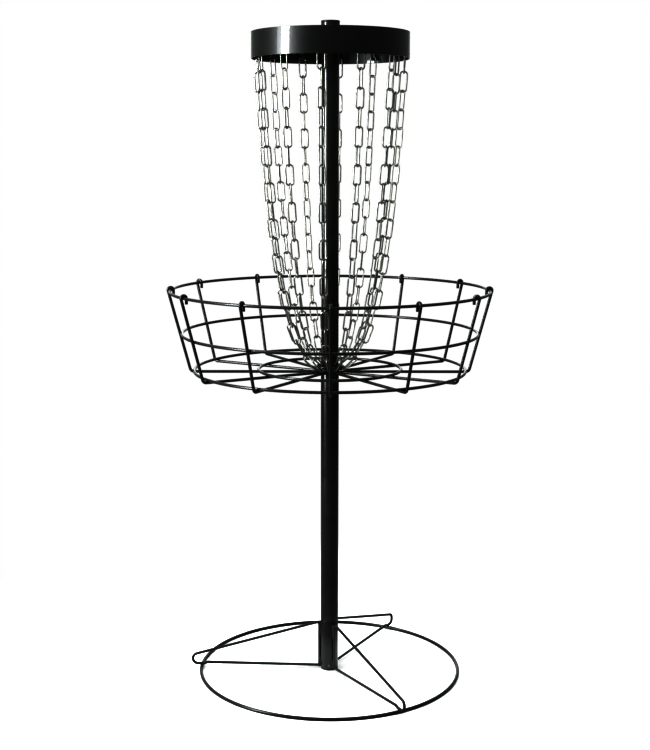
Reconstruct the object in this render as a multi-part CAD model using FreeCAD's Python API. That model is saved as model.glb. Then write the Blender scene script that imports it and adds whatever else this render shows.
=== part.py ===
import FreeCAD, Part
import math
import os

# Disc golf basket, free standing.  Millimetres, +Z up.
# Origin: on the ground, on the axis of the pole.  -Y is the front.
# Azimuths are measured from the front (-Y), positive towards +X.

Vector = FreeCAD.Vector
Z_AXIS = Vector(0, 0, 1)
ORIGIN = Vector(0, 0, 0)

# ---------------------------------------------------------------- dimensions
# clearances
RUNNING_FIT = 0.1           # radial play of parts that slide or turn on the pole
PRESS_GAP = 0.03            # radial gap of plugs glued or pressed into a tube
END_GAP = 0.2               # axial gap where one loose piece rests on another
WELD_SINK = 0.1             # how far a crossing wire sinks into the wire it is welded to
RIM_SINK = 0.2              # the same where a rib's hook goes over the rim
SEAM_SINK = 0.02            # the same for a wire welded along a wall
END_SINK = 0.17             # the same for a wire's cut end on a round wall
EDGE = 0.8                  # chamfer on the edges of turned pieces

# base
LOWER_POLE_OD = 38.1
LOWER_POLE_ID = 35.1
BASE_TUBE_TOP = 113.0
SPIGOT_ENGAGEMENT = 50.0    # length of the joining tube inside each of the two tubes
SPIGOT_WALL = 1.5
SPIGOT_LEAD = 1.5           # length of the chamfer that guides the lower pole on
FOOT_FLANGE = 3.0
FOOT_PLUG = 16.0
FOOT_PLUG_WALL = 3.0
RIVET_HEIGHT = 11.0
RIVET_SHANK = 3.2
RIVET_HEAD = 6.5
RIVET_HEAD_HEIGHT = 1.3
RIVET_REACH = 3.6           # how far the shank goes in from the outside of the tube

BASE_RING_RADIUS = 283.5
BASE_RING_WIRE = 7.0
LEG_WIRE = 6.0
LEG_AZIMUTHS = {"left": -90, "front_right": 30, "rear_right": 150}
LEG_TOP = 107.0             # apex of the leg, where the upright turns outwards
LEG_TOE_RADIUS = 303.0      # furthest reach of the leg, just outside the ring
LEG_TOE_BEND = 11.5
LEG_JOGGLE = 3.0            # small step in the lower wire, just inside the ring
LEG_JOGGLE_START = 5.0      # from the ring's centre line to the step
LEG_JOGGLE_RUN = 8.0        # length of the step
LEG_JOGGLE_BEND = 8.0
LEG_HEEL_HEIGHT = 6.5       # height of the lower wire where it meets the tube
LEG_CORNER_BEND = 5.0

# tray
TRAY_FLOOR = 667.2          # centre height of the radial wires
TRAY_CORNER_RADIUS = 297.5  # where floor and upright would meet
TRAY_CORNER_BEND = 9.0
RIM_RADIUS = 338.0
RIM_HEIGHT = 842.0
RIB_COUNT = 12
RIB_WIRE = 6.0
RIM_WIRE = 6.0
RING_WIRE = 6.0
MIDDLE_RING_HEIGHT = 752.0
FLOOR_OUTER_RADIUS = 289.0
FLOOR_INNER_RADIUS = 152.0
HOOK_TAIL = 12.0            # how far the wire comes back down inside the rim
HUB_OD = 42.0
HUB_HEIGHT = 10.0
HUB_LIP = 3.5               # thickness of the lip that the upper pole stands on

# poles
LOWER_POLE_TOP = 663.0
UPPER_POLE_OD = 36.5
UPPER_POLE_ID = 33.5
UPPER_POLE_NECK = 60.0      # length of the reduced end inside the lower pole
UPPER_POLE_TOP = 1384.5
NECK_TAPER = 1.0            # chamfers of the reduced end

# chain hanger
BAND_OD = 329.0
BAND_WALL = 1.5
BAND_BOTTOM = 1320.5
BAND_TOP = 1373.5
SLEEVE_OD = 38.6
SLEEVE_BOTTOM = 1337.0
SLEEVE_TOP = 1393.5
DISC_THICKNESS = 3.0
CAP_HEAD = 4.0
CAP_PLUG = 5.0
CAP_EDGE = 1.5
HOOK_WIRE = 5.0
HOOK_BEND = 6.0             # centre-line radius of the dip that carries the chain
HOOK_DIP = 1327.5           # centre height of the wire at the bottom of the dip
SPOKE_HEIGHT = 1362.0
HOOK_END = 1353.0
HANGER_TURN = -7.0          # azimuth of the first chain at rest

# chains
CHAIN_COUNT = 12
LINK_COUNT = 18
LINK_WIRE = 3.0
LINK_WIDTH = 18.0
LINK_PITCH = 37.8
LINK_PLAY = 0.4
SEGMENTS = ("lower", "middle", "upper")
CHAIN_RING_RADIUS = 28.5
CHAIN_RING_WIRE = 5.0
CHAIN_RING_PLAY = 2.0       # slack of the last link on the ring, for the chain to swing
END_LIFT = 1.45             # extra play, times 1 - cos(bend), of two links at an angle
TWIST_SLOW = 55.0           # amplitudes in degrees of each chain's twist
TWIST_FAST = 24.0
TWIST_SLOW_STEP = 2.4       # radians from one chain to the next, so that no two match
TWIST_SLOW_START = 0.7
TWIST_FAST_STEP = 1.9
TWISTED_LINKS = 15          # links, from the hook, that the twist is spread over
LEAST_PULL = 0.2            # sideways pull on a chain, in link weights, that is searched
MOST_PULL = 5.0
PULL_HALVINGS = 60

# derived
LINK_LENGTH = LINK_PITCH + LINK_PLAY + LINK_WIRE          # between end-wire centres
LINK_BEND = (LINK_WIDTH - LINK_WIRE) / 2
BAND_INNER = BAND_OD / 2 - BAND_WALL
HOOK_OUTER = BAND_INNER - HOOK_WIRE / 2 + SEAM_SINK       # radius of the hook's outer leg
HOOK_RADIUS = HOOK_OUTER - HOOK_BEND                      # radius of the bottom of the dip
PIVOT_HEIGHT = HOOK_DIP + HOOK_BEND                       # centre of the dip's bend
HUB_BOTTOM = LOWER_POLE_TOP + END_GAP
SHOULDER = HUB_BOTTOM + HUB_LIP + END_GAP
SLEEVE_ID = UPPER_POLE_OD + 2 * RUNNING_FIT


# ------------------------------------------------------------------- helpers
def azimuth(shape, degrees):
    """A copy of a shape made along +X, turned to an azimuth measured from -Y."""
    turned = shape.copy()
    turned.rotate(ORIGIN, Z_AXIS, degrees - 90)
    return turned


def tube(outer_diameter, inner_diameter, bottom, top):
    """A plain tube on the pole's axis."""
    height = top - bottom
    outside = Part.makeCylinder(outer_diameter / 2, height, Vector(0, 0, bottom))
    inside = Part.makeCylinder(inner_diameter / 2, height, Vector(0, 0, bottom))
    return outside.cut(inside)


def turned(profile):
    """A solid of revolution about the pole's axis, from (radius, height) points."""
    points = [Vector(radius, 0, height) for radius, height in profile]
    face = Part.Face(Part.makePolygon(points + points[:1]))
    return face.revolve(ORIGIN, Z_AXIS, 360)


def wire_ring(radius, wire, height):
    """A ring of round wire, lying flat."""
    return Part.makeTorus(radius, wire / 2, Vector(0, 0, height))


def bent_path(points, bends):
    """Straight runs joined by tangent arcs; bends holds a radius for each inner point."""
    edges = []
    start = points[0]
    for corner, after, radius in zip(points[1:-1], points[2:], bends):
        back = (start - corner).normalize()
        ahead = (after - corner).normalize()
        half_angle = back.getAngle(ahead) / 2
        setback = radius / math.tan(half_angle)
        first = corner + back * setback
        last = corner + ahead * setback
        inward = (back + ahead).normalize()
        middle = corner + inward * (radius / math.sin(half_angle) - radius)
        edges.append(Part.LineSegment(start, first).toShape())
        edges.append(Part.Arc(first, middle, last).toShape())
        start = last
    edges.append(Part.LineSegment(start, points[-1]).toShape())
    return Part.Wire(edges)


def rod(path, wire):
    """Round wire bent along a path."""
    start = path.Edges[0]
    heading = start.tangentAt(start.FirstParameter)
    section = Part.Wire(Part.makeCircle(wire / 2, start.valueAt(start.FirstParameter), heading))
    return Part.Solid(path.makePipeShell([section], True, False))


def save(name, shape):
    """Write one node."""
    shape.exportStep("parts/" + name + ".step")


# ---------------------------------------------------------------------- base
def make_base_tube():
    body = tube(LOWER_POLE_OD, LOWER_POLE_ID, FOOT_FLANGE, BASE_TUBE_TOP)
    return body.cut(rivet_hole())


def rivet_hole():
    radius = RIVET_SHANK / 2 + RUNNING_FIT
    start = Vector(0, -LOWER_POLE_OD, RIVET_HEIGHT)
    return Part.makeCylinder(radius, LOWER_POLE_OD, start, Vector(0, 1, 0))


def make_foot_cap():
    plug_radius = LOWER_POLE_ID / 2 - PRESS_GAP
    flange_radius = LOWER_POLE_OD / 2
    cavity_radius = plug_radius - FOOT_PLUG_WALL
    top = FOOT_FLANGE + FOOT_PLUG
    body = turned([(0, 0), (flange_radius - EDGE, 0), (flange_radius, EDGE),
                   (flange_radius, FOOT_FLANGE), (plug_radius, FOOT_FLANGE),
                   (plug_radius, top), (cavity_radius, top),
                   (cavity_radius, FOOT_FLANGE), (0, FOOT_FLANGE)])
    return body.cut(rivet_hole())


def make_foot_rivet():
    surface = LOWER_POLE_OD / 2
    head_radius = RIVET_HEAD / 2
    dome_radius = (head_radius ** 2 + RIVET_HEAD_HEIGHT ** 2) / (2 * RIVET_HEAD_HEIGHT)
    dome_centre = Vector(0, -surface - RIVET_HEAD_HEIGHT + dome_radius, RIVET_HEIGHT)
    dome = Part.makeSphere(dome_radius, dome_centre)
    outside = Vector(0, -surface - RIVET_HEAD_HEIGHT, RIVET_HEIGHT)
    inward = Vector(0, 1, 0)
    head = dome.common(Part.makeCylinder(head_radius, RIVET_HEAD_HEIGHT + 1, outside, inward))
    wall = Part.makeCylinder(surface, RIVET_HEIGHT * 2)
    head = head.cut(wall)
    skirt = Vector(0, -surface - RIVET_HEAD_HEIGHT / 2, RIVET_HEIGHT)
    reach = RIVET_REACH + RIVET_HEAD_HEIGHT / 2
    shank = Part.makeCylinder(RIVET_SHANK / 2, reach, skirt, inward)
    return head.fuse(shank)


def make_base_spigot():
    outer = LOWER_POLE_ID - 2 * RUNNING_FIT
    bottom = BASE_TUBE_TOP - SPIGOT_ENGAGEMENT
    top = BASE_TUBE_TOP + SPIGOT_ENGAGEMENT
    outer_radius = outer / 2
    inner_radius = outer_radius - SPIGOT_WALL
    return turned([(inner_radius, bottom), (outer_radius, bottom),
                   (outer_radius, top - SPIGOT_LEAD), (outer_radius - SPIGOT_LEAD / 2, top),
                   (inner_radius, top)])


def make_leg():
    """Upright against the tube, out and down past the ring, back in over the ring."""
    upright = LOWER_POLE_OD / 2 + LEG_WIRE / 2 - SEAM_SINK
    crossing = BASE_RING_WIRE + LEG_WIRE / 2 - WELD_SINK
    toe_centre_radius = LEG_TOE_RADIUS - LEG_TOE_BEND
    toe_centre_height = crossing + LEG_TOE_BEND
    # the sloped wire is the tangent from the apex to the toe's bend
    run = toe_centre_radius - upright
    drop = LEG_TOP - toe_centre_height
    reach = math.hypot(run, drop)
    slope = math.atan2(drop, run) - math.asin(LEG_TOE_BEND / reach)
    tangent_radius = toe_centre_radius + LEG_TOE_BEND * math.sin(slope)
    tangent_height = toe_centre_height + LEG_TOE_BEND * math.cos(slope)
    side = (math.pi - slope) / 2
    halfway = Vector(toe_centre_radius + LEG_TOE_BEND * math.sin(slope + side), 0,
                     toe_centre_height + LEG_TOE_BEND * math.cos(slope + side))
    toe_top = Vector(tangent_radius, 0, tangent_height)
    toe_bottom = Vector(toe_centre_radius, 0, crossing)
    upper = bent_path([Vector(upright, 0, LEG_HEEL_HEIGHT - LEG_WIRE / 2),
                       Vector(upright, 0, LEG_TOP), toe_top], [LEG_CORNER_BEND])
    toe = Part.Arc(toe_top, halfway, toe_bottom).toShape()
    joggle_out = BASE_RING_RADIUS - LEG_JOGGLE_START
    joggle_in = joggle_out - LEG_JOGGLE_RUN
    heel = Vector(upright + LEG_WIRE / 2, 0, LEG_HEEL_HEIGHT)
    lower = bent_path([toe_bottom, Vector(joggle_out, 0, crossing),
                       Vector(joggle_in, 0, crossing + LEG_JOGGLE), heel],
                      [LEG_JOGGLE_BEND, LEG_JOGGLE_BEND])
    return rod(Part.Wire(upper.Edges + [toe] + lower.Edges), LEG_WIRE)


def make_base():
    save("base_tube", make_base_tube())
    save("base_spigot", make_base_spigot())
    save("foot_cap", make_foot_cap())
    save("foot_rivet", make_foot_rivet())
    save("base_ring", wire_ring(BASE_RING_RADIUS, BASE_RING_WIRE, BASE_RING_WIRE / 2))
    leg = make_leg()
    for side, degrees in LEG_AZIMUTHS.items():
        save("leg_" + side, azimuth(leg, degrees))


# --------------------------------------------------------------------- poles
def make_upper_pole():
    """A tube whose lower end is reduced to slide into the lower pole."""
    outer = UPPER_POLE_OD / 2
    inner = UPPER_POLE_ID / 2
    neck = LOWER_POLE_ID / 2 - RUNNING_FIT
    neck_inner = neck - (outer - inner)
    bottom = SHOULDER - HUB_LIP - UPPER_POLE_NECK
    return turned([(neck_inner, bottom), (neck - NECK_TAPER / 2, bottom),
                   (neck, bottom + NECK_TAPER), (neck, SHOULDER), (outer, SHOULDER),
                   (outer, UPPER_POLE_TOP), (inner, UPPER_POLE_TOP),
                   (inner, SHOULDER + NECK_TAPER), (neck_inner, SHOULDER - NECK_TAPER)])


def make_poles():
    save("lower_pole", tube(LOWER_POLE_OD, LOWER_POLE_ID, BASE_TUBE_TOP + END_GAP, LOWER_POLE_TOP))
    save("upper_pole", make_upper_pole())


# ---------------------------------------------------------------------- tray
def make_hub():
    """A short collar; its lip lies between the lower pole and the upper pole's shoulder."""
    outer = HUB_OD / 2
    lip = LOWER_POLE_ID / 2
    bore = UPPER_POLE_OD / 2 + RUNNING_FIT
    top = HUB_BOTTOM + HUB_HEIGHT
    lip_top = HUB_BOTTOM + HUB_LIP
    return turned([(lip, HUB_BOTTOM), (outer - EDGE, HUB_BOTTOM), (outer, HUB_BOTTOM + EDGE),
                   (outer, top - EDGE), (outer - EDGE, top), (bore, top),
                   (bore, lip_top), (lip, lip_top)])


def upright_line():
    """Foot and head of the sloped upright's centre line, as (radius, height)."""
    hook = (RIB_WIRE + RIM_WIRE) / 2 - RIM_SINK
    run = RIM_RADIUS - TRAY_CORNER_RADIUS
    rise = RIM_HEIGHT - TRAY_FLOOR
    # the upright is tangent to the hook's bend, on the outside of the rim
    lean = math.atan2(run, rise) + math.asin(hook / math.hypot(run, rise))
    head = (RIM_RADIUS + hook * math.cos(lean), RIM_HEIGHT - hook * math.sin(lean))
    return (TRAY_CORNER_RADIUS, TRAY_FLOOR), head, hook, lean


def upright_radius(height):
    foot, head, hook, lean = upright_line()
    return foot[0] + (height - foot[1]) * math.tan(lean)


def make_rib():
    """Hub, floor, corner, upright, and a hook over the rim."""
    foot, head, hook, lean = upright_line()
    hub_wall = Vector(HUB_OD / 2 - END_SINK, 0, TRAY_FLOOR)
    side = bent_path([hub_wall, Vector(foot[0], 0, foot[1]), Vector(head[0], 0, head[1])],
                     [TRAY_CORNER_BEND])
    crown = Vector(RIM_RADIUS - hook * math.sin(lean / 2), 0,
                   RIM_HEIGHT + hook * math.cos(lean / 2))
    inside = Vector(RIM_RADIUS - hook, 0, RIM_HEIGHT)
    over = Part.Arc(Vector(head[0], 0, head[1]), crown, inside).toShape()
    tail = Part.LineSegment(inside, inside - Z_AXIS * HOOK_TAIL).toShape()
    return rod(Part.Wire(side.Edges + [over, tail]), RIB_WIRE)


def make_tray():
    rib = make_rib()
    step = 360 / RIB_COUNT
    ribs = [azimuth(rib, step * index) for index in range(RIB_COUNT)]
    contact = (RIB_WIRE + RING_WIRE) / 2 - WELD_SINK
    lean = upright_line()[3]
    middle_radius = upright_radius(MIDDLE_RING_HEIGHT) - contact / math.cos(lean)
    floor_ring = TRAY_FLOOR + contact
    save("basket_hub", make_hub())
    save("basket_ribs", Part.makeCompound(ribs))
    save("basket_rim", wire_ring(RIM_RADIUS, RIM_WIRE, RIM_HEIGHT))
    save("basket_middle_ring", wire_ring(middle_radius, RING_WIRE, MIDDLE_RING_HEIGHT))
    save("basket_floor_ring_outer", wire_ring(FLOOR_OUTER_RADIUS, RING_WIRE, floor_ring))
    save("basket_floor_ring_inner", wire_ring(FLOOR_INNER_RADIUS, RING_WIRE, floor_ring))


# -------------------------------------------------------------------- hanger
def make_hook():
    """Spoke out from the sleeve, shank down, dip under the chain, and up to the band."""
    shank = HOOK_RADIUS - HOOK_BEND
    sleeve_wall = SLEEVE_OD / 2 - END_SINK
    spoke = bent_path([Vector(sleeve_wall, 0, SPOKE_HEIGHT), Vector(shank, 0, SPOKE_HEIGHT),
                       Vector(shank, 0, PIVOT_HEIGHT)], [HOOK_BEND])
    dip = Part.Arc(Vector(shank, 0, PIVOT_HEIGHT), Vector(HOOK_RADIUS, 0, HOOK_DIP),
                   Vector(HOOK_OUTER, 0, PIVOT_HEIGHT)).toShape()
    leg = Part.LineSegment(Vector(HOOK_OUTER, 0, PIVOT_HEIGHT), Vector(HOOK_OUTER, 0, HOOK_END))
    return rod(Part.Wire(spoke.Edges + [dip, leg.toShape()]), HOOK_WIRE)


def chain_azimuths():
    step = 360 / CHAIN_COUNT
    return [HANGER_TURN + step * index for index in range(CHAIN_COUNT)]


def make_hanger():
    hook = make_hook()
    disc_bottom = UPPER_POLE_TOP + END_GAP
    disc_diameter = SLEEVE_ID - 2 * PRESS_GAP
    disc = Part.makeCylinder(disc_diameter / 2, DISC_THICKNESS, Vector(0, 0, disc_bottom))
    head = SLEEVE_OD / 2
    top = SLEEVE_TOP + CAP_HEAD
    plug = disc_diameter / 2
    cap = turned([(0, SLEEVE_TOP - CAP_PLUG), (plug, SLEEVE_TOP - CAP_PLUG), (plug, SLEEVE_TOP),
                  (head, SLEEVE_TOP), (head, top - CAP_EDGE), (head - CAP_EDGE, top), (0, top)])
    save("band", tube(BAND_OD, 2 * BAND_INNER, BAND_BOTTOM, BAND_TOP))
    save("hanger_sleeve", tube(SLEEVE_OD, SLEEVE_ID, SLEEVE_BOTTOM, SLEEVE_TOP))
    save("hanger_disc", disc)
    save("hanger_hooks", Part.makeCompound([azimuth(hook, turn) for turn in chain_azimuths()]))
    save("pole_cap", cap)


# -------------------------------------------------------------------- chains
def make_link():
    """One straight link along +Z, its plane in XZ, centred on the origin."""
    half = LINK_LENGTH / 2 - LINK_BEND
    end = LINK_LENGTH / 2
    corners = [Vector(LINK_BEND, 0, -half), Vector(LINK_BEND, 0, half),
               Vector(-LINK_BEND, 0, half), Vector(-LINK_BEND, 0, -half)]
    edges = [Part.LineSegment(corners[0], corners[1]).toShape(),
             Part.Arc(corners[1], Vector(0, 0, end), corners[2]).toShape(),
             Part.LineSegment(corners[2], corners[3]).toShape(),
             Part.Arc(corners[3], Vector(0, 0, -end), corners[0]).toShape()]
    section = Part.Wire(Part.makeCircle(LINK_WIRE / 2, corners[0], Z_AXIS))
    return Part.Solid(Part.Wire(edges).makePipeShell([section], True, False))


def pull(sideways, weight):
    """Unit vector, outwards and up, of the pull that carries a weight."""
    return Vector(sideways, 0, weight).normalize()


def link_and_ring_weight():
    wire_area = math.pi * LINK_WIRE ** 2 / 4
    straight = 2 * (LINK_LENGTH - 2 * LINK_BEND)
    link = wire_area * (straight + 2 * math.pi * LINK_BEND)
    ring = 2 * math.pi * CHAIN_RING_RADIUS * math.pi * CHAIN_RING_WIRE ** 2 / 4
    return link, ring


def hang(sideways):
    """Links from the chain ring up to the hook, hanging freely in the XZ plane.

    The sideways pull is in link weights.  Returns the (foot, head) points of each link's
    centre line, and the point where the hook carries the chain, with the ring at height 0.
    """
    link_weight, ring_weight = link_and_ring_weight()
    carried = ring_weight / CHAIN_COUNT / link_weight
    ring_reach = LINK_BEND - (LINK_WIRE + CHAIN_RING_WIRE) / 2 - CHAIN_RING_PLAY
    hook_reach = HOOK_BEND - HOOK_WIRE / 2 - LINK_WIRE / 2 - LINK_PLAY
    end_centre = Vector(CHAIN_RING_RADIUS, 0, 0) + pull(sideways, carried) * ring_reach
    foot = end_centre - pull(sideways, carried + 0.5) * LINK_BEND
    links = []
    for index in range(LINK_COUNT):
        along = pull(sideways, carried + index + 0.5)
        head = foot + along * LINK_LENGTH
        links.append((foot, head))
        after = pull(sideways, carried + index + 1.5)
        play = LINK_PLAY + END_LIFT * (1 - math.cos(along.getAngle(after)))
        foot = head - pull(sideways, carried + index + 1) * (LINK_WIRE + play)
    pivot = head + pull(sideways, carried + LINK_COUNT) * hook_reach
    return links, pivot


def solve_chain():
    """Find the sideways pull that brings the chain from the ring to the hook."""
    low = LEAST_PULL
    high = MOST_PULL
    for _ in range(PULL_HALVINGS):
        middle = (low + high) / 2
        if hang(middle)[1].x < HOOK_RADIUS:
            low = middle
        else:
            high = middle
    links, pivot = hang(middle)
    lift = Vector(0, 0, PIVOT_HEIGHT - pivot.z)
    return [(foot + lift, head + lift) for foot, head in links], lift.z


def link_twist(chain, from_hook):
    """How far a link is turned about the chain's line, away from the usual quarter turns."""
    along = min(from_hook / TWISTED_LINKS, 1)
    slow = TWIST_SLOW * math.sin(TWIST_SLOW_STEP * chain + TWIST_SLOW_START)
    fast = TWIST_FAST * math.cos(TWIST_FAST_STEP * chain)
    return slow * math.sin(math.pi * along) + fast * math.sin(2 * math.pi * along)


def placed_link(link, foot, head, twist):
    """The link laid between two points of the XZ plane; at no twist it stands edge on."""
    along = (head - foot).normalize()
    lean = math.degrees(math.atan2(along.x, along.z))
    body = link.copy()
    body.rotate(ORIGIN, Z_AXIS, twist)
    body.rotate(ORIGIN, Vector(0, 1, 0), lean)
    body.translate((foot + head) * 0.5)
    return body


def make_chains():
    link = make_link()
    places, ring_height = solve_chain()
    per_segment = LINK_COUNT // len(SEGMENTS)
    for chain, turn in enumerate(chain_azimuths()):
        links = []
        for index, (foot, head) in enumerate(places):
            from_hook = LINK_COUNT - 1 - index
            quarter = 90 * ((from_hook + 1) % 2)
            twist = quarter + link_twist(chain, from_hook)
            links.append(azimuth(placed_link(link, foot, head, twist), turn))
        for number, segment in enumerate(SEGMENTS):
            first = number * per_segment
            group = Part.makeCompound(links[first:first + per_segment])
            save("chain_%02d_%s" % (chain + 1, segment), group)
    save("chain_ring", wire_ring(CHAIN_RING_RADIUS, CHAIN_RING_WIRE, ring_height))


os.makedirs("parts", exist_ok=True)
make_base()
make_poles()
make_tray()
make_hanger()
make_chains()
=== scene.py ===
import math
import random

import bpy
import numpy as np
from mathutils import Matrix, Vector


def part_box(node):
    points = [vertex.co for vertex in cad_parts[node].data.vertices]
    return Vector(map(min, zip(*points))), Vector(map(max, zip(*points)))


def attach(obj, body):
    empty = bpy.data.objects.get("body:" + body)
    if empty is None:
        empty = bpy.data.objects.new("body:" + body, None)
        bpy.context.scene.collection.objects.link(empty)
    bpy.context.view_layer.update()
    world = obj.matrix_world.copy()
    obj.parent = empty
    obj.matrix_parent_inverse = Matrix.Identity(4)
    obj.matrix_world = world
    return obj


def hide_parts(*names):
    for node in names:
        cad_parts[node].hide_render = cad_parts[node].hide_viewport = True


# Disc golf basket.  Metres, +Z up, -Y is the front.
# Azimuths are measured from the front (-Y), positive towards +X.

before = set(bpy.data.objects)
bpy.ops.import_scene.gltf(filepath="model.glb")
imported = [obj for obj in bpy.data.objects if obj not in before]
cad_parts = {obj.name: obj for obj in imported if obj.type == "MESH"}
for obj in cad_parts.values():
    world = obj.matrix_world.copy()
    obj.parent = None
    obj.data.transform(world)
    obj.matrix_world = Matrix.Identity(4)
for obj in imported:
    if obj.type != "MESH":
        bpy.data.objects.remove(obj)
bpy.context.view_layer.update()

# ---------------------------------------------------------------- dimensions
# wires
BASE_WIRE = 0.007
LEG_WIRE = 0.006
TRAY_WIRE = 0.006
HOOK_WIRE = 0.005
CHAIN_RING_WIRE = 0.005
WELD_SINK = 0.0001          # how far two welded wires sink into each other
RIM_SINK = 0.0002           # the same where a rib's hook goes over the rim
END_SINK = 0.00017          # the same for a wire's cut end on a round wall
SEAM_SINK = 0.00002         # the same for a wire welded along a wall
WIRE_SIDES = 20
LONGEST_RUN = 0.03          # longest stretch of a straight wire's mesh
BEND_STEP = math.radians(6)
TIGHT_BEND_STEP = math.radians(9)

# tubes and turned pieces
TUBE_WALL = 0.0015
SLIDING_FIT = 0.0001        # radial play between two tubes that slide
PRESS_GAP = 0.00003         # radial gap round a plug
END_GAP = 0.0002            # axial gap where one loose piece rests on another
FINE_EDGE = 0.0003          # how far a tube's edges are rounded off
CUT_EDGE = 0.0005
TURNED_SIDES = 96
BAND_SIDES = 288
SHARP_ANGLE = 40            # degrees above which a turned piece's edge stays crisp

# welds, half sizes
BUTT_SWELL = 0.09           # how much a ring's wire swells at its butt weld
BUTT_SHORTNESS = 260        # ring's turns per length of that swelling
LEG_NUGGET = (0.0028, 0.0034, 0.0013)
CROSSING_NUGGET = (0.0028, 0.0028, 0.0011)
RIM_NUGGET = (0.0030, 0.0028, 0.0012)
COLLAR_LEG = 0.0019
SEAM_SLANT = 1.4            # how far a seam's face turns along the wall
RIPPLE_PITCH = 0.0016

# base
LEG_AZIMUTHS = {"left": -90, "front_right": 30, "rear_right": 150}
LEG_TOE_BEND = 0.0115
LEG_CORNER_BEND = 0.005
LEG_TOP = 0.107
LEG_HEEL_HEIGHT = 0.0065
LEG_JOGGLE = 0.003
LEG_JOGGLE_START = 0.005
LEG_JOGGLE_RUN = 0.008
LEG_JOGGLE_BEND = 0.008
LEG_SEAMS = ((LEG_TOP - 0.030, LEG_TOP - 0.004), (0.010, 0.024))
LEG_SEAM_OUT = 0.0007       # from the tube's wall to the seam's middle
LEG_SEAM_ASIDE = 0.0030
LEG_SEAM_SIZE = (0.0019, 0.0013)
CAP_FLANGE = 0.003
CAP_WALL = 0.003
CAP_BOTTOM_EDGE = 0.0009

# tray
RIB_COUNT = 12
TRAY_CORNER_RADIUS = 0.2975
TRAY_CORNER_BEND = 0.009
HOOK_TAIL = 0.012
HUB_LIP = 0.0035            # thickness of the lip that the upper pole stands on
HUB_LIP_BORE = 0.01755
HUB_EDGE = 0.0009

# hanger
SLEEVE_BORE = 0.01835       # radius; the hub has the same
BAND_WALL = 0.0015
BAND_EDGE = 0.0006
HOOK_BEND = 0.006
HOOK_END_ABOVE_DIP = 0.0255
SPOKE_ABOVE_DIP = 0.0345
HOOK_SEAM = (0.010, 0.022)  # above the dip
HOOK_SEAM_IN = 0.0006       # from the band's wall to the seam's middle
HOOK_SEAM_ASIDE = 0.0026
HOOK_SEAM_SIZE = (0.0016, 0.0012)
CAP_LOWER_EDGE = 0.0004
CAP_TOP_EDGE = 0.0016
CAP_CROWN = 0.0002          # how far the cap's top rises towards its middle
HANGER_TURN = -7.0

# chains
CHAIN_COUNT = 12
SEGMENTS = ("upper", "middle", "lower")
LINK_WIDTH = 0.018
LINK_WIRE = 0.003
LINK_SQUARENESS = 2.35      # 2 is a half-round end; more is squarer
LINK_SIDES = 14
LINK_LEG_POINTS = 12
LINK_END_POINTS = 18
CHAIN_RING_SIDES = 96

# light, as radiance
ROOM_GLOW = 0.38
LEFT_GLOW = 0.48
BACKDROP_GLOW = 0.9

# camera
CAMERA_AT = (-0.0104, -2.8115, 1.1266)
CAMERA_PITCH = 9.43         # degrees below level
CAMERA_ROLL = 0.07
CAMERA_SENSOR = 36.0        # mm
CAMERA_LENS = 63.8016       # mm
TONE_GAMMA = 0.45

rng = random.Random(7)


# ------------------------------------------------------------------- meshes
def polar(radius, height, degrees):
    """A point at a radius, height and azimuth."""
    turn = math.radians(degrees)
    return Vector((radius * math.sin(turn), -radius * math.cos(turn), height))


def around(points, degrees):
    """(radius, height) points of a plane through the pole, laid at an azimuth."""
    return [polar(radius, height, degrees) for radius, height in points]


def piece(name, verts, faces, body, material, replaces=(), sharp=None):
    """A finished mesh piece on its body."""
    mesh = bpy.data.meshes.new(name)
    mesh.from_pydata([tuple(v) for v in verts], [], faces)
    mesh.update()
    mesh.shade_smooth()
    if sharp:
        mesh.set_sharp_from_angle(angle=math.radians(sharp))
    made = bpy.data.objects.new(name, mesh)
    bpy.context.scene.collection.objects.link(made)
    mesh.materials.append(material)
    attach(made, body)
    if replaces:
        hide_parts(*replaces)
    return made


def dress(node, finish):
    """A carried-over node with a better material."""
    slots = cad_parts[node].material_slots
    for entry in slots:
        entry.material = finish
    if not slots:
        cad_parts[node].data.materials.append(finish)


class Build:
    """Vertices and faces of one piece, gathered from several shapes."""

    def __init__(self):
        self.verts = []
        self.faces = []

    def add(self, verts, faces):
        first = len(self.verts)
        self.verts.extend(Vector(v) for v in verts)
        self.faces.extend([index + first for index in face] for face in faces)

    def grid(self, rows, closed_rows):
        """Quads between rings of points; every ring is itself closed."""
        first = len(self.verts)
        width = len(rows[0])
        for row in rows:
            self.verts.extend(row)
        spans = len(rows) if closed_rows else len(rows) - 1
        for r in range(spans):
            here = first + r * width
            there = first + (r + 1) % len(rows) * width
            for c in range(width):
                after = (c + 1) % width
                self.faces.append([here + c, here + after, there + after, there + c])
        return first

    def lid(self, start, count, flip):
        ring = list(range(start, start + count))
        self.faces.append(ring[::-1] if flip else ring)


def arc(centre, radius, start, end, step=BEND_STEP):
    """(radius, height) points of an arc, angles in radians from outwards, positive up."""
    count = max(2, int(abs(end - start) / step) + 1)
    turns = [start + (end - start) * i / count for i in range(count + 1)]
    return [(centre[0] + radius * math.cos(t), centre[1] + radius * math.sin(t)) for t in turns]


def corner_arc(before, corner, after, radius, steps=None):
    """The arc that rounds off a corner, in BEND_STEP turns or in a number of steps."""
    corner = Vector(corner)
    back = (Vector(before) - corner).normalized()
    ahead = (Vector(after) - corner).normalized()
    half_angle = back.angle(ahead) / 2
    setback = radius / math.tan(half_angle)
    inward = (back + ahead).normalized()
    centre = corner + inward * radius / math.sin(half_angle)
    first = corner + back * setback - centre
    last = corner + ahead * setback - centre
    start = math.atan2(first.y, first.x)
    turn = math.atan2(first.cross(last), first.dot(last))
    return arc(centre, radius, start, start + turn, abs(turn) / steps if steps else BEND_STEP)


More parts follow.
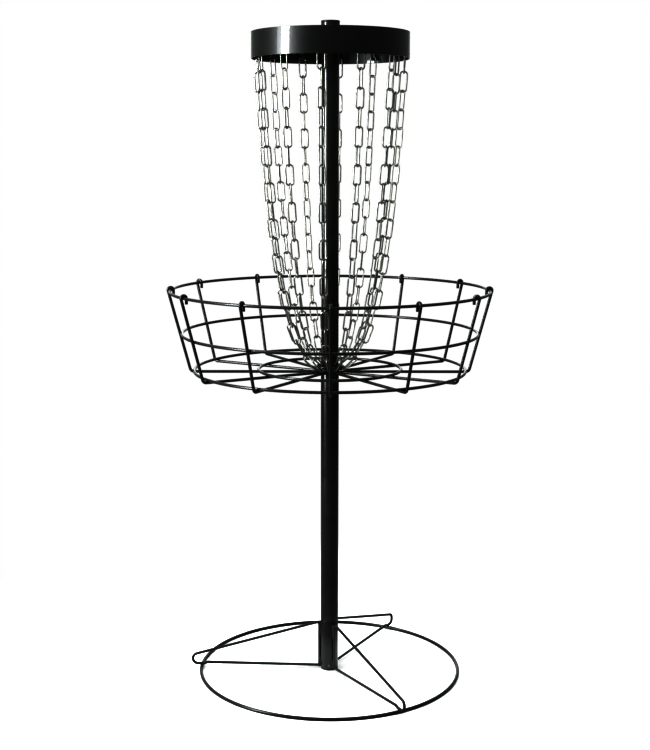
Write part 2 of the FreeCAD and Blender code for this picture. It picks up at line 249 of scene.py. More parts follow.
def bent(points, bends):
    """Straight runs joined by tangent arcs, in a plane; bends holds one radius per corner."""
    path = [points[0]]
    for before, corner, after, radius in zip(points, points[1:-1], points[2:], bends):
        path.extend(corner_arc(before, corner, after, radius))
    path.append(points[-1])
    return path


def rounded(profile, radii, steps=5):
    """A closed (radius, height) profile whose corners are rounded off."""
    result = []
    for i, (corner, radius) in enumerate(zip(profile, radii)):
        if radius:
            after = profile[(i + 1) % len(profile)]
            result.extend(corner_arc(profile[i - 1], corner, after, radius, steps))
        else:
            result.append(corner)
    return result


def spaced(path):
    """The path with its long straight runs divided."""
    result = [path[0]]
    for before, after in zip(path, path[1:]):
        count = max(1, math.ceil((after - before).length / LONGEST_RUN))
        result.extend(before.lerp(after, i / count) for i in range(1, count + 1))
    return result


def rod(build, path, wire, closed=False, swell=None, sides=WIRE_SIDES, rounding=0.18):
    """Round wire along a path, with softly rounded cut ends; swell thickens it by place."""
    count = len(path)
    radius = wire / 2
    tangents = []
    for i, point in enumerate(path):
        ahead = path[(i + 1) % count] if closed or i < count - 1 else point
        behind = path[i - 1] if closed or i else point
        tangents.append((ahead - behind).normalized())
    across = tangents[0].orthogonal().normalized()
    if abs(tangents[0].z) < 0.99:
        across = tangents[0].cross(Vector((0, 0, 1))).normalized()
    rings = []
    for i, (point, along) in enumerate(zip(path, tangents)):
        across = (across - along * across.dot(along)).normalized()
        up = along.cross(across)
        size = radius * (swell(i / count) if swell else 1)
        rings.append((point, across.copy(), up, size))

    def ring(point, across, up, size):
        turns = [math.tau * s / sides for s in range(sides)]
        return [point + (across * math.cos(t) + up * math.sin(t)) * size for t in turns]

    rows = [ring(*r) for r in rings]
    if not closed:
        soft = radius * rounding
        head, tail = [], []
        for t in (0.25, 0.5, 0.75, 1.0):
            turn = t * math.pi / 2
            inset = soft * (1 - math.cos(turn))
            back = soft * (1 - math.sin(turn))
            point, across, up, size = rings[0]
            head.append(ring(point + tangents[0] * back, across, up, size - inset))
            point, across, up, size = rings[-1]
            tail.append(ring(point - tangents[-1] * back, across, up, size - inset))
        rows[0] = ring(rings[0][0] + tangents[0] * soft, *rings[0][1:])
        rows[-1] = ring(rings[-1][0] - tangents[-1] * soft, *rings[-1][1:])
        rows = head[::-1] + rows + tail
    first = build.grid(rows, closed)
    if not closed:
        build.lid(first, sides, True)
        build.lid(first + (len(rows) - 1) * sides, sides, False)


def lathe(build, profile, segments=TURNED_SIDES):
    """A closed (radius, height) profile turned about the pole's axis."""
    rows = [[Vector((r * math.cos(a), r * math.sin(a), h)) for r, h in profile]
            for a in (math.tau * s / segments for s in range(segments))]
    build.grid(rows[::-1], True)


def solid_turned(build, profile, segments=TURNED_SIDES):
    """A solid of revolution; the profile runs from the axis, outside up, to the axis."""
    rows = []
    for radius, height in profile[1:-1]:
        turns = (math.tau * s / segments for s in range(segments))
        rows.append([Vector((radius * math.cos(a), radius * math.sin(a), height)) for a in turns])
    first = build.grid(rows, False)
    for end, row, flip in ((profile[0], 0, False), (profile[-1], len(rows) - 1, True)):
        tip = len(build.verts)
        build.verts.append(Vector((0, 0, end[1])))
        start = first + row * segments
        for s in range(segments):
            face = [tip, start + s, start + (s + 1) % segments]
            build.faces.append(face if flip else face[::-1])


def make_tube(node, body, finish, box, bore, edges, segments=TURNED_SIDES):
    """A round tube as tall and as wide as its box, with its four edges rounded off."""
    low, high = box
    build = Build()
    lathe(build, rounded([(bore, low.z), (high.x, low.z), (high.x, high.z), (bore, high.z)],
                         edges), segments)
    piece(node + "_coated", build.verts, build.faces, body, finish, (node,), SHARP_ANGLE)


# -------------------------------------------------------------------- welds
def unit_ball(rings=7, sides=12):
    """Points and faces of a ball of radius 1, poles along its third axis."""
    verts = [Vector((0, 0, -1))]
    for r in range(1, rings):
        lift = -math.cos(math.pi * r / rings)
        width = math.sin(math.pi * r / rings)
        for s in range(sides):
            turn = math.tau * s / sides
            verts.append(Vector((width * math.cos(turn), width * math.sin(turn), lift)))
    verts.append(Vector((0, 0, 1)))
    faces = []
    for s in range(sides):
        after = (s + 1) % sides
        faces.append([0, 1 + after, 1 + s])
        last = 1 + (rings - 2) * sides
        faces.append([len(verts) - 1, last + s, last + after])
        for r in range(rings - 2):
            here = 1 + r * sides
            faces.append([here + s, here + after, here + sides + after, here + sides + s])
    return verts, faces


BALL = unit_ball()


def nugget(build, at, along, normal, size, lumpy=0.1):
    """A squashed lump of weld metal; size is (along, across, height) half sizes."""
    along = along.normalized()
    normal = (normal - along * normal.dot(along)).normalized()
    across = normal.cross(along)
    turned = Matrix((along * size[0], across * size[1], normal * size[2])).transposed()
    verts = []
    for v in BALL[0]:
        lump = 1 + lumpy * (rng.random() - 0.5) * (1 - abs(v.z))
        verts.append(at + turned @ (v * lump))
    build.add(verts, BALL[1])


def bead(build, start, end, normal, width, height):
    """A row of overlapping ripples along a seam."""
    along = end - start
    count = max(2, round(along.length / RIPPLE_PITCH))
    for i in range(count + 1):
        wander = 1 + 0.12 * (rng.random() - 0.5)
        size = (RIPPLE_PITCH * 1.25, width * wander, height * wander)
        nugget(build, start + along * (i / count), along, normal, size, 0.04)


def collar(build, at, axis, radius, leg=COLLAR_LEG, sides=24, steps=6):
    """A concave fillet of weld round a wire that stands on a wall; axis points off the wall."""
    axis = axis.normalized()
    across = axis.orthogonal().normalized()
    up = axis.cross(across)
    rows = []
    for s in range(sides):
        turn = math.tau * s / sides
        out = across * math.cos(turn) + up * math.sin(turn)
        reach = leg * (1 + 0.1 * math.sin(7 * turn + at.x * 900) + 0.08 * (rng.random() - 0.5))
        row = []
        for i in range(steps + 1):
            sweep = math.pi / 2 * i / steps
            row.append(at + out * (radius + reach * (1 - math.sin(sweep)))
                       + axis * reach * (1 - math.cos(sweep)))
        row.append(at + out * radius * 0.8 + axis * reach)
        row.append(at + out * radius * 0.8 - axis * leg * 0.5)
        row.append(at + out * (radius + reach) - axis * leg * 0.5)
        rows.append(row)
    build.grid(rows[::-1], True)


# ---------------------------------------------------------------- materials
def material(name, colour, metallic, roughness):
    made = bpy.data.materials.new(name)
    made.use_nodes = True
    nodes = made.node_tree.nodes
    shader = nodes["Principled BSDF"]
    shader.inputs["Base Color"].default_value = (*colour, 1)
    shader.inputs["Metallic"].default_value = metallic
    shader.inputs["Roughness"].default_value = roughness
    return made, nodes, made.node_tree.links, shader


def object_noise(nodes, links, scale, detail=3.0, stretch=(1, 1, 1)):
    """A noise fixed to the piece, in turns per metre."""
    place = nodes.new("ShaderNodeTexCoord")
    mapping = nodes.new("ShaderNodeMapping")
    mapping.inputs["Scale"].default_value = stretch
    noise = nodes.new("ShaderNodeTexNoise")
    noise.inputs["Scale"].default_value = scale
    noise.inputs["Detail"].default_value = detail
    links.new(place.outputs["Object"], mapping.inputs["Vector"])
    links.new(mapping.outputs["Vector"], noise.inputs["Vector"])
    return noise.outputs["Fac"]


def ramp(nodes, links, value, stops):
    """A value or a colour that follows stops of (position, grey or colour)."""
    node = nodes.new("ShaderNodeValToRGB")
    links.new(value, node.inputs["Fac"])
    elements = node.color_ramp.elements
    while len(elements) < len(stops):
        elements.new(0.5)
    for element, (position, shade) in zip(elements, stops):
        element.position = position
        shade = (shade,) * 3 if isinstance(shade, float) else shade
        element.color = (*shade, 1)
    return node.outputs["Color"]


def spread(nodes, links, value, low, high):
    """A value from 0.3 to 0.7 taken to the range from low to high."""
    node = nodes.new("ShaderNodeMapRange")
    node.inputs["From Min"].default_value = 0.3
    node.inputs["From Max"].default_value = 0.7
    node.inputs["To Min"].default_value = low
    node.inputs["To Max"].default_value = high
    links.new(value, node.inputs["Value"])
    return node.outputs["Result"]


def bump(nodes, links, layers, shader):
    """Stacks (value, distance in metres, strength) layers of relief."""
    normal = None
    for value, distance, strength in layers:
        node = nodes.new("ShaderNodeBump")
        node.inputs["Distance"].default_value = distance
        node.inputs["Strength"].default_value = strength
        links.new(value, node.inputs["Height"])
        if normal:
            links.new(normal, node.inputs["Normal"])
        normal = node.outputs["Normal"]
    links.new(normal, shader.inputs["Normal"])


def powder_coat(name, colour, dusty, roughness, peel, coat, coat_roughness, level):
    """Black powder coat: orange peel, slight mottling of the gloss, a trace of dust."""
    made, nodes, links, shader = material(name, colour, 0.0, sum(roughness) / 2)
    broad = object_noise(nodes, links, 38.0, 4.0)
    fine = object_noise(nodes, links, 900.0, 2.0)
    grain = object_noise(nodes, links, 5200.0, 2.0)
    links.new(ramp(nodes, links, broad, [(0.35, colour), (0.8, dusty)]),
              shader.inputs["Base Color"])
    links.new(spread(nodes, links, broad, *roughness), shader.inputs["Roughness"])
    bump(nodes, links, [(fine, 0.00012, peel), (grain, 0.00002, peel * 0.6)], shader)
    shader.inputs["Specular IOR Level"].default_value = level
    shader.inputs["Coat Weight"].default_value = coat
    shader.inputs["Coat Roughness"].default_value = coat_roughness
    return made


def zinc_plate(name):
    """Bright zinc: a hair of warm tint, cloudy gloss, fine drawing marks, dull patches."""
    made, nodes, links, shader = material(name, (0.50, 0.50, 0.46), 1.0, 0.27)
    cloud = object_noise(nodes, links, 120.0, 5.0)
    patch = object_noise(nodes, links, 31.0, 3.0)
    scratch = object_noise(nodes, links, 1500.0, 2.0, (1, 1, 0.12))
    links.new(ramp(nodes, links, cloud, [(0.30, (0.32, 0.32, 0.29)), (0.52, (0.41, 0.41, 0.38)),
                                         (0.75, (0.48, 0.48, 0.46))]),
              shader.inputs["Base Color"])
    links.new(spread(nodes, links, patch, 0.28, 0.42), shader.inputs["Roughness"])
    bump(nodes, links, [(cloud, 0.00008, 0.10), (scratch, 0.00001, 0.20)], shader)
    return made


def bare_metal(name, colour, roughness):
    """Drawn or turned metal without a finish, with fine marks."""
    made, nodes, links, shader = material(name, colour, 1.0, sum(roughness) / 2)
    marks = object_noise(nodes, links, 2400.0, 2.0, (1, 1, 0.05))
    cloud = object_noise(nodes, links, 60.0, 4.0)
    links.new(ramp(nodes, links, cloud, [(0.3, tuple(c * 0.7 for c in colour)), (0.7, colour)]),
              shader.inputs["Base Color"])
    links.new(spread(nodes, links, marks, *roughness), shader.inputs["Roughness"])
    bump(nodes, links, [(marks, 0.00003, 0.4)], shader)
    return made


def moulded(name, colour, roughness):
    """Moulded plastic with a fine spark-eroded grain."""
    made, nodes, links, shader = material(name, colour, 0.0, sum(roughness) / 2)
    grain = object_noise(nodes, links, 2600.0, 3.0)
    cloud = object_noise(nodes, links, 90.0, 3.0)
    links.new(ramp(nodes, links, cloud, [(0.3, colour), (0.75, tuple(c * 1.5 for c in colour))]),
              shader.inputs["Base Color"])
    links.new(spread(nodes, links, cloud, *roughness), shader.inputs["Roughness"])
    bump(nodes, links, [(grain, 0.00006, 0.35)], shader)
    return made


TUBE_COAT = powder_coat("tube_powder_coat",
                        colour=(0.016, 0.0175, 0.0140), dusty=(0.027, 0.028, 0.024),
                        roughness=(0.27, 0.40), peel=0.22,
                        coat=0.8, coat_roughness=0.06, level=0.45)
WIRE_COAT = powder_coat("wire_powder_coat",
                        colour=(0.026, 0.0262, 0.0275), dusty=(0.040, 0.040, 0.041),
                        roughness=(0.26, 0.40), peel=0.14,
                        coat=0.65, coat_roughness=0.16, level=0.30)
BAND_GLOSS = powder_coat("band_gloss",
                         colour=(0.0090, 0.0097, 0.0090), dusty=(0.012, 0.013, 0.012),
                         roughness=(0.34, 0.40), peel=0.10,
                         coat=0.8, coat_roughness=0.06, level=0.6)
ZINC = zinc_plate("zinc_plate")
PLAIN_STEEL = bare_metal("plain_steel", (0.42, 0.42, 0.41), (0.32, 0.48))
RIVET_METAL = bare_metal("rivet_aluminium", (0.20, 0.20, 0.20), (0.44, 0.58))
CAP_PLASTIC = moulded("cap_plastic", (0.016, 0.017, 0.015), (0.32, 0.48))


# --------------------------------------------------------------------- base
def ring_of(node, wire):
    """Centre-line radius and height of a wire ring of the frame."""
    low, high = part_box(node)
    return high.x - wire / 2, (low.z + high.z) / 2


def butt_weld(share):
    """Swelling of a ring's wire where its two ends are welded together."""
    def swell(t):
        away = min(abs(t - share), 1 - abs(t - share))
        return 1 + BUTT_SWELL * math.exp(-(away * BUTT_SHORTNESS) ** 2)
    return swell


def wire_ring(node, wire, body, weld_azimuth, segments=288):
    """A ring of wire, closed by a butt weld dressed flush with its underside."""
    radius, height = ring_of(node, wire)
    build = Build()
    step = 360 / segments
    path = [polar(radius, height, -step * i) for i in range(segments)]
    share = (-weld_azimuth % 360) / 360
    rod(build, path, wire, True, butt_weld(share))
    underside = height - wire / 2
    for vert in build.verts:
        vert.z = max(vert.z, underside)
    piece(node + "_wire", build.verts, build.faces, body, WIRE_COAT, (node,))
    return radius, height


def leg_path(ring_radius, tube_radius, toe_radius):
    """Upright against the tube, out and down past the ring, back in over the ring."""
    wire = LEG_WIRE
    upright = tube_radius + wire / 2 - SEAM_SINK
    crossing = BASE_WIRE + wire / 2 - WELD_SINK
    toe = (toe_radius - LEG_TOE_BEND, crossing + LEG_TOE_BEND)
    run = toe[0] - upright
    drop = LEG_TOP - toe[1]
    slope = math.atan2(drop, run) - math.asin(LEG_TOE_BEND / math.hypot(run, drop))
    bend_start = math.pi / 2 - slope
    curl = arc(toe, LEG_TOE_BEND, bend_start, -math.pi / 2)
    down = bent([(upright, LEG_HEEL_HEIGHT - wire / 2), (upright, LEG_TOP), curl[0]],
                [LEG_CORNER_BEND])
    step_out = ring_radius - LEG_JOGGLE_START
    back = bent([curl[-1], (step_out, crossing), (step_out - LEG_JOGGLE_RUN, crossing + LEG_JOGGLE),
                 (upright + wire / 2, LEG_HEEL_HEIGHT)], [LEG_JOGGLE_BEND, LEG_JOGGLE_BEND])
    return down[:-1] + curl + back[1:]


def make_leg(side, degrees, path, ring_radius, tube_radius):
    """One bent wire, its weld on the ring, and its seams up the tube at head and foot."""
    build = Build()
    rod(build, spaced(around(path, degrees)), LEG_WIRE)
    outward = polar(1, 0, degrees)
    tangent = Vector((0, 0, 1)).cross(outward)
    contact = polar(ring_radius, BASE_WIRE - WELD_SINK / 2, degrees)
    nugget(build, contact, tangent, Vector((0, 0, 1)), LEG_NUGGET)
    for sign in (-1, 1):
        seam = outward * (tube_radius + LEG_SEAM_OUT) + tangent * (sign * LEG_SEAM_ASIDE)
        facing = outward + tangent * sign * SEAM_SLANT
        for low, high in LEG_SEAMS:
            bead(build, seam + Vector((0, 0, low)), seam + Vector((0, 0, high)),
                 facing, *LEG_SEAM_SIZE)
    piece("leg_%s_wire" % side, build.verts, build.faces, "base", WIRE_COAT,
          ("leg_" + side,))


def make_base():
    low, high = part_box("base_tube")
    ring_radius, _ = wire_ring("base_ring", BASE_WIRE, "base", 78)
    toe_radius = -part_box("leg_left")[0].x - LEG_WIRE / 2
    path = leg_path(ring_radius, high.x, toe_radius)
    for side, degrees in LEG_AZIMUTHS.items():
        make_leg(side, degrees, path, ring_radius, high.x)
    make_tube("base_tube", "base", TUBE_COAT, (low, high), high.x - TUBE_WALL,
              [FINE_EDGE, FINE_EDGE, CUT_EDGE, FINE_EDGE])
    dress("base_spigot", PLAIN_STEEL)
    make_foot()


def make_foot():
    _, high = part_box("foot_cap")
    flange_radius = high.x
    plug_radius = flange_radius - TUBE_WALL - PRESS_GAP
    cavity = plug_radius - CAP_WALL
    build = Build()
    profile = [(0, 0)]
    profile += arc((flange_radius - CAP_BOTTOM_EDGE, CAP_BOTTOM_EDGE), CAP_BOTTOM_EDGE,
                   -math.pi / 2, 0, 0.3)
    profile += arc((flange_radius - CUT_EDGE, CAP_FLANGE - CUT_EDGE), CUT_EDGE,
                   0, math.pi / 2, 0.5)
    profile += [(plug_radius, CAP_FLANGE), (plug_radius, high.z), (cavity, high.z),
                (cavity, CAP_FLANGE), (0, CAP_FLANGE)]
    solid_turned(build, profile)
    piece("foot_cap_moulded", build.verts, build.faces, "base", CAP_PLASTIC,
          ("foot_cap",), SHARP_ANGLE)
    dress("foot_rivet", RIVET_METAL)


# -------------------------------------------------------------------- poles
def make_poles():
    low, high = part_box("lower_pole")
    bore = high.x - TUBE_WALL
    make_tube("lower_pole", "lower_pole", TUBE_COAT, (low, high), bore,
              [FINE_EDGE, CUT_EDGE, CUT_EDGE, FINE_EDGE])
    low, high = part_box("upper_pole")
    radius = high.x
    neck = bore - SLIDING_FIT
    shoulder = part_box("basket_hub")[0].z + HUB_LIP + END_GAP
    taper = 0.001
    build = Build()
    lathe(build, rounded([(neck - TUBE_WALL, low.z), (neck, low.z), (neck, shoulder),
                          (radius, shoulder), (radius, high.z), (radius - TUBE_WALL, high.z),
                          (radius - TUBE_WALL, shoulder + taper),
                          (neck - TUBE_WALL, shoulder - taper)],
                         [FINE_EDGE, 0.0006, 0, 0.0004, 0.0004, FINE_EDGE, 0, 0]))
    piece("upper_pole_coated", build.verts, build.faces, "upper_pole", TUBE_COAT,
          ("upper_pole",), SHARP_ANGLE)


# --------------------------------------------------------------------- tray
def rib_path(rim, floor_height, hub_radius):
    """Hub, floor, corner, upright, and a hook over the rim."""
    hook = TRAY_WIRE - RIM_SINK
    run = rim[0] - TRAY_CORNER_RADIUS
    rise = rim[1] - floor_height
    lean = math.atan2(run, rise) + math.asin(hook / math.hypot(run, rise))
    head = (rim[0] + hook * math.cos(lean), rim[1] - hook * math.sin(lean))
    side = bent([(hub_radius, floor_height), (TRAY_CORNER_RADIUS, floor_height), head],
                [TRAY_CORNER_BEND])
    over = arc(rim, hook, -lean, math.pi, TIGHT_BEND_STEP)
    tail = (rim[0] - hook, rim[1] - HOOK_TAIL)
    return side[:-1] + over + [tail], lean


def make_tray():
    rim = wire_ring("basket_rim", TRAY_WIRE, "tray", 75)
    middle = wire_ring("basket_middle_ring", TRAY_WIRE, "tray", 165)
    outer = wire_ring("basket_floor_ring_outer", TRAY_WIRE, "tray", -165)
    inner = wire_ring("basket_floor_ring_inner", TRAY_WIRE, "tray", 105)
    floor_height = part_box("basket_ribs")[0].z + TRAY_WIRE / 2
    hub_low, hub_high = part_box("basket_hub")
    path, lean = rib_path(rim, floor_height, hub_high.x - END_SINK)
    up = Vector((0, 0, 1))
    ribs = Build()
    welds = Build()
    half_lap = TRAY_WIRE / 2 - WELD_SINK / 2
    for index in range(RIB_COUNT):
        degrees = 360 / RIB_COUNT * index
        outward = polar(1, 0, degrees)
        tangent = up.cross(outward)
        rod(ribs, spaced(around(path, degrees)), TRAY_WIRE)
        for radius, _ in (outer, inner):
            contact = polar(radius, floor_height + half_lap, degrees)
            nugget(welds, contact, outward, up, CROSSING_NUGGET)
        inside = outward * -math.cos(lean) + up * math.sin(lean)
        contact = polar(*middle, degrees) - inside * half_lap
        nugget(welds, contact, tangent, inside, CROSSING_NUGGET)
        beside = polar(*rim, degrees) - outward * half_lap
        nugget(welds, beside, tangent, outward, RIM_NUGGET)
        foot = polar(hub_high.x - WELD_SINK, floor_height, degrees)
        collar(welds, foot, outward, TRAY_WIRE / 2)
    piece("basket_ribs_wire", ribs.verts, ribs.faces, "tray", WIRE_COAT,
          ("basket_ribs",))
    piece("basket_welds", welds.verts, welds.faces, "tray", WIRE_COAT)
    make_hub(hub_low, hub_high)


def make_hub(low, high):
    """A collar with a lip inside its lower end."""
    lip_top = low.z + HUB_LIP
    build = Build()
    lathe(build, rounded([(HUB_LIP_BORE, low.z), (high.x, low.z), (high.x, high.z),
                          (SLEEVE_BORE, high.z), (SLEEVE_BORE, lip_top),
                          (HUB_LIP_BORE, lip_top)],
                         [0.0002, HUB_EDGE, HUB_EDGE, 0.0004, 0, 0.0002]))
    piece("basket_hub_coated", build.verts, build.faces, "tray", WIRE_COAT,
          ("basket_hub",), SHARP_ANGLE)


# ------------------------------------------------------------------- hanger
def hook_path(outer_leg, dip_height, sleeve_radius):
    """Spoke out from the sleeve, shank down, dip under the chain, and up to the band."""
    shank = outer_leg - 2 * HOOK_BEND
    spoke_height = dip_height + SPOKE_ABOVE_DIP
    pivot_height = dip_height + HOOK_BEND
    spoke = bent([(sleeve_radius, spoke_height), (shank, spoke_height), (shank, pivot_height)],
                 [HOOK_BEND])
    dip = arc((outer_leg - HOOK_BEND, pivot_height), HOOK_BEND, math.pi, math.tau,
              TIGHT_BEND_STEP)
    return spoke[:-1] + dip + [(outer_leg, dip_height + HOOK_END_ABOVE_DIP)]


def make_hanger():
    up = Vector((0, 0, 1))
    band_low, band_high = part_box("band")
    band_inner = band_high.x - BAND_WALL
    sleeve_low, sleeve_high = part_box("hanger_sleeve")
    dip_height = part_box("hanger_hooks")[0].z + HOOK_WIRE / 2
    spoke_height = dip_height + SPOKE_ABOVE_DIP
    outer_leg = band_inner - HOOK_WIRE / 2 + SEAM_SINK
    path = hook_path(outer_leg, dip_height, sleeve_high.x - END_SINK)
    hooks = Build()
    welds = Build()
    for index in range(CHAIN_COUNT):
        degrees = HANGER_TURN + 360 / CHAIN_COUNT * index
        outward = polar(1, 0, degrees)
        tangent = up.cross(outward)
        rod(hooks, spaced(around(path, degrees)), HOOK_WIRE)
        root = polar(sleeve_high.x - WELD_SINK, spoke_height, degrees)
        collar(welds, root, outward, HOOK_WIRE / 2)
        for sign in (-1, 1):
            seam = outward * (band_inner - HOOK_SEAM_IN) + tangent * (sign * HOOK_SEAM_ASIDE)
            facing = tangent * sign * SEAM_SLANT - outward
            low, high = (seam + up * (dip_height + above) for above in HOOK_SEAM)
            bead(welds, low, high, facing, *HOOK_SEAM_SIZE)
    piece("hanger_hooks_wire", hooks.verts, hooks.faces, "hanger", WIRE_COAT,
          ("hanger_hooks",))
    piece("hanger_welds", welds.verts, welds.faces, "hanger", WIRE_COAT)
    make_tube("band", "hanger", BAND_GLOSS, (band_low, band_high),
              band_inner, [BAND_EDGE] * 4, BAND_SIDES)
    make_tube("hanger_sleeve", "hanger", TUBE_COAT, (sleeve_low, sleeve_high),
              SLEEVE_BORE, [FINE_EDGE, 0.0004, FINE_EDGE, FINE_EDGE])
    make_pole_cap(sleeve_high)
    dress("hanger_disc", PLAIN_STEEL)


def make_pole_cap(sleeve_high):
    """A plug in the sleeve, with a head as wide as the sleeve."""
    low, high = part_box("pole_cap")
    plug = SLEEVE_BORE - PRESS_GAP
    outer = sleeve_high.x
    build = Build()
    profile = [(0, low.z), (plug, low.z), (plug, sleeve_high.z)]
    profile += arc((outer - CAP_LOWER_EDGE, sleeve_high.z + CAP_LOWER_EDGE), CAP_LOWER_EDGE,
                   -math.pi / 2, 0, 0.5)
    profile += arc((outer - CAP_TOP_EDGE, high.z - CAP_TOP_EDGE - CAP_CROWN), CAP_TOP_EDGE,
                   0, math.pi / 2 - 0.05, 0.2)
    profile.append((0, high.z))
    solid_turned(build, profile)
    piece("pole_cap_moulded", build.verts, build.faces, "hanger", CAP_PLASTIC,
          ("pole_cap",), SHARP_ANGLE)


# ------------------------------------------------------------------- chains
def islands(mesh):
    """Triangles of each separate solid of a mesh, as arrays of corner points."""
    mesh.calc_loop_triangles()
    points = np.array([v.co for v in mesh.vertices], float)
    triangles = np.array([t.vertices for t in mesh.loop_triangles])
    keys = np.round(points, 6)
    _, same = np.unique(keys, axis=0, return_inverse=True)
    corners = same.reshape(-1)[triangles]
    label = np.arange(corners.max() + 1)
    while True:
        least = label[corners].min(1)
        fresh = label.copy()
        for column in range(3):
            np.minimum.at(fresh, corners[:, column], least)
        fresh = fresh[fresh]
        if (fresh == label).all():
            break
        label = fresh
    group = label[corners[:, 0]]
    return [points[triangles[group == g]] for g in np.unique(group)]


def pose_of(triangles):
    """Centre, axes (width, thickness, length) and length of a link, from its surface."""
    a, b, c = triangles[:, 0], triangles[:, 1], triangles[:, 2]
    area = np.linalg.norm(np.cross(b - a, c - a), axis=1) / 2
    centre = ((a + b + c) / 3 * area[:, None]).sum(0) / area.sum()
    a, b, c = a - centre, b - centre, c - centre
    total = a + b + c
    spread_out = sum(np.einsum("i,ij,ik->jk", area / 12, p, p) for p in (a, b, c, total))
    axes = np.linalg.eigh(spread_out)[1]
    width, length = axes[:, 1], axes[:, 2]
    if length[2] < 0:
        length = -length
    thickness = np.cross(length, width)
    reach = np.ptp((triangles - centre).reshape(-1, 3) @ length)
    return Vector(centre), Matrix((width, thickness, length)).transposed(), reach


def link_line(width, length, wire):
    """Centre line of one link: straight legs and slightly squared round ends."""
    half_width = (width - wire) / 2
    half_length = (length - wire) / 2
    straight = half_length - half_width
    power = 2 / LINK_SQUARENESS
    points = []
    legs = [-1 + 2 * i / LINK_LEG_POINTS for i in range(LINK_LEG_POINTS)]
    ends = [math.pi * i / LINK_END_POINTS for i in range(LINK_END_POINTS)]
    points += [Vector((half_width, 0, straight * t)) for t in legs]
    for side in (1, -1):
        for turn in ends:
            x = math.copysign(abs(math.cos(turn)) ** power, math.cos(turn)) * half_width
            z = straight + abs(math.sin(turn)) ** power * half_width
            points.append(Vector((x, 0, z)) * side)
        if side == 1:
            points += [Vector((-half_width, 0, -straight * t)) for t in legs]
    return points


def link_mesh(length):
    """Welded link: a flash ridge half way up one leg, that leg a little necked beside it."""
    line = link_line(LINK_WIDTH, length, LINK_WIRE)
    build = Build()

    def swell(t):
        along = t * len(line) - LINK_LEG_POINTS / 2
        ridge = 0.10 * math.exp(-(along / 1.1) ** 2)
        neck = 0.05 * math.exp(-(along / 3.5) ** 2)
        return 1 + ridge - neck

    rod(build, line, LINK_WIRE, True, swell, LINK_SIDES)
    return build


def make_chains():
    master = None
    for chain in range(1, CHAIN_COUNT + 1):
        for segment in SEGMENTS:
            node = "chain_%02d_%s" % (chain, segment)
            found = [pose_of(part) for part in islands(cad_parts[node].data)]
            if master is None:
                master = link_mesh(found[0][2])
            build = Build()
            for centre, axes, _ in found:
                flip = rng.random() < 0.5
                turn = Matrix.Rotation(math.pi, 3, "Z") if flip else Matrix.Identity(3)
                build.add([centre + axes @ (turn @ v) for v in master.verts], master.faces)
            piece(node + "_links", build.verts, build.faces, node, ZINC, (node,))
    wire_ring("chain_ring", CHAIN_RING_WIRE, "chain_ring", 200, CHAIN_RING_SIDES)


# -------------------------------------------------------------------- scene
def area_light(name, at, target, width, height, power, colour=(1, 1, 1)):
    data = bpy.data.lights.new(name, "AREA")
    data.shape = "RECTANGLE"
    data.size = width
    data.size_y = height
    data.energy = power
    data.color = colour
    made = bpy.data.objects.new(name, data)
    made.location = at
    made.rotation_mode = "QUATERNION"
    made.rotation_quaternion = (Vector(target) - Vector(at)).to_track_quat("-Z", "Y")
    made.visible_camera = False
    bpy.context.scene.collection.objects.link(made)
    return made


def mixed(nodes, links, share, low, high):
    """One shader fading into another."""
    mix = nodes.new("ShaderNodeMixShader")
    links.new(share, mix.inputs["Fac"])
    links.new(low, mix.inputs[1])
    links.new(high, mix.inputs[2])
    return mix.outputs["Shader"]


def faded(nodes, links, value, start, end, low=0.0, high=1.0):
    """A value that goes smoothly from low, at start, to high, at end."""
    node = nodes.new("ShaderNodeMapRange")
    node.interpolation_type = "SMOOTHSTEP"
    node.inputs["From Min"].default_value = start
    node.inputs["From Max"].default_value = end
    node.inputs["To Min"].default_value = low
    node.inputs["To Max"].default_value = high
    links.new(value, node.inputs["Value"])
    return node.outputs["Result"]


def make_floor():
    """A pale round floor that runs out into the white of the studio."""
    radius = 9.0
    sides = 96
    turns = (math.tau * s / sides for s in range(sides))
    verts = [(radius * math.cos(a), radius * math.sin(a), 0) for a in turns]
    mesh = bpy.data.meshes.new("floor")
    mesh.from_pydata(verts, [], [list(range(sides))])
    floor = bpy.data.objects.new("floor", mesh)
    bpy.context.scene.collection.objects.link(floor)
    made, nodes, links, near = material("floor_white", (0.90, 0.90, 0.90), 0.0, 0.9)
    near.inputs["Specular IOR Level"].default_value = 0.1
    white = nodes.new("ShaderNodeEmission")
    far = nodes.new("ShaderNodeBsdfDiffuse")
    far.inputs["Color"].default_value = (0.20, 0.20, 0.20, 1)
    place = nodes.new("ShaderNodeTexCoord")
    away = nodes.new("ShaderNodeVectorMath")
    away.operation = "LENGTH"
    links.new(place.outputs["Object"], away.inputs[0])
    fade = faded(nodes, links, away.outputs["Value"], 0.40, 1.10)
    dim = faded(nodes, links, away.outputs["Value"], 0.08, 0.34)
    seen = mixed(nodes, links, fade, near.outputs["BSDF"], white.outputs["Emission"])
    bounced = mixed(nodes, links, dim, near.outputs["BSDF"], far.outputs["BSDF"])
    path = nodes.new("ShaderNodeLightPath")
    links.new(mixed(nodes, links, path.outputs["Is Camera Ray"], bounced, seen),
              nodes["Material Output"].inputs["Surface"])
    mesh.materials.append(made)


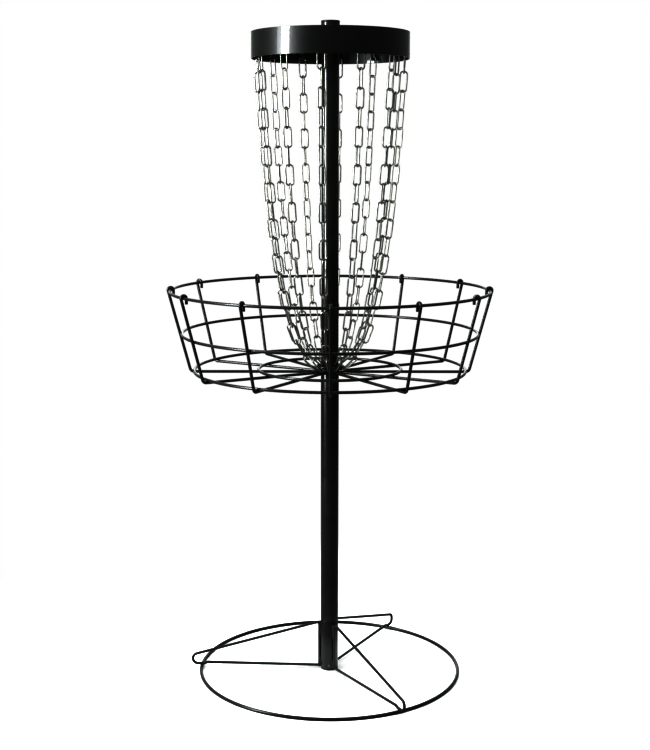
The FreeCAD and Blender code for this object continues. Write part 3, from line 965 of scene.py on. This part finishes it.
def make_world():
    """White to the eye; to the object, a grey room, paler on the left and behind."""
    world = bpy.data.worlds.new("studio")
    bpy.context.scene.world = world
    world.use_nodes = True
    nodes = world.node_tree.nodes
    links = world.node_tree.links
    seen = nodes["Background"]
    seen.inputs["Color"].default_value = (1, 1, 1, 1)
    room = nodes.new("ShaderNodeBackground")
    room.inputs["Color"].default_value = (0.96, 1.0, 0.96, 1)
    place = nodes.new("ShaderNodeTexCoord")
    split = nodes.new("ShaderNodeSeparateXYZ")
    links.new(place.outputs["Generated"], split.inputs["Vector"])
    behind = faded(nodes, links, split.outputs["Y"], 0.84, 0.995, 0.0, BACKDROP_GLOW)
    left = faded(nodes, links, split.outputs["X"], 0.2, -1.0, ROOM_GLOW, LEFT_GLOW)
    total = nodes.new("ShaderNodeMath")
    total.operation = "ADD"
    links.new(behind, total.inputs[0])
    links.new(left, total.inputs[1])
    links.new(total.outputs["Value"], room.inputs["Strength"])
    path = nodes.new("ShaderNodeLightPath")
    links.new(mixed(nodes, links, path.outputs["Is Camera Ray"], room.outputs["Background"],
                    seen.outputs["Background"]), nodes["World Output"].inputs["Surface"])


def strip(name, azimuth, distance, height, width, tall, power, colour=(1, 1, 1)):
    """A tall soft box that faces the pole."""
    at = polar(distance, height, azimuth)
    return area_light(name, at, (0, 0, height), width, tall, power, colour)


def make_lights():
    strip("strip_left", azimuth=-65.4, distance=2.3, height=1.66,
          width=0.53, tall=2.32, power=120, colour=(0.95, 0.98, 1.0))
    strip("strip_left_edge", azimuth=-76, distance=2.3, height=1.66,
          width=0.24, tall=2.32, power=11, colour=(0.90, 0.96, 1.0))
    strip("strip_behind_left", azimuth=-173, distance=2.6, height=1.3,
          width=0.5, tall=1.8, power=3)
    strip("strip_behind_right", azimuth=171, distance=2.6, height=1.3,
          width=0.4, tall=1.8, power=2.5)
    top = area_light("overhead", (0.0, 0.0, 3.4), (0, 0, 0), 2.4, 2.4, 165)
    top.visible_glossy = False


def make_camera():
    data = bpy.data.cameras.new("camera")
    data.sensor_width = CAMERA_SENSOR
    data.lens = CAMERA_LENS
    data.clip_start = 0.05
    data.clip_end = 60.0
    made = bpy.data.objects.new("camera", data)
    made.location = CAMERA_AT
    pitch = math.radians(CAMERA_PITCH)
    roll = math.radians(CAMERA_ROLL)
    made.rotation_mode = "QUATERNION"
    level = Matrix.Rotation(math.pi / 2 - pitch, 3, "X") @ Matrix.Rotation(roll, 3, "Z")
    made.rotation_quaternion = level.to_quaternion()
    bpy.context.scene.collection.objects.link(made)
    bpy.context.scene.camera = made


make_base()
make_poles()
make_tray()
make_hanger()
make_chains()
make_floor()
make_world()
make_lights()
make_camera()
bpy.context.scene.view_settings.view_transform = "Standard"
bpy.context.scene.view_settings.gamma = TONE_GAMMA
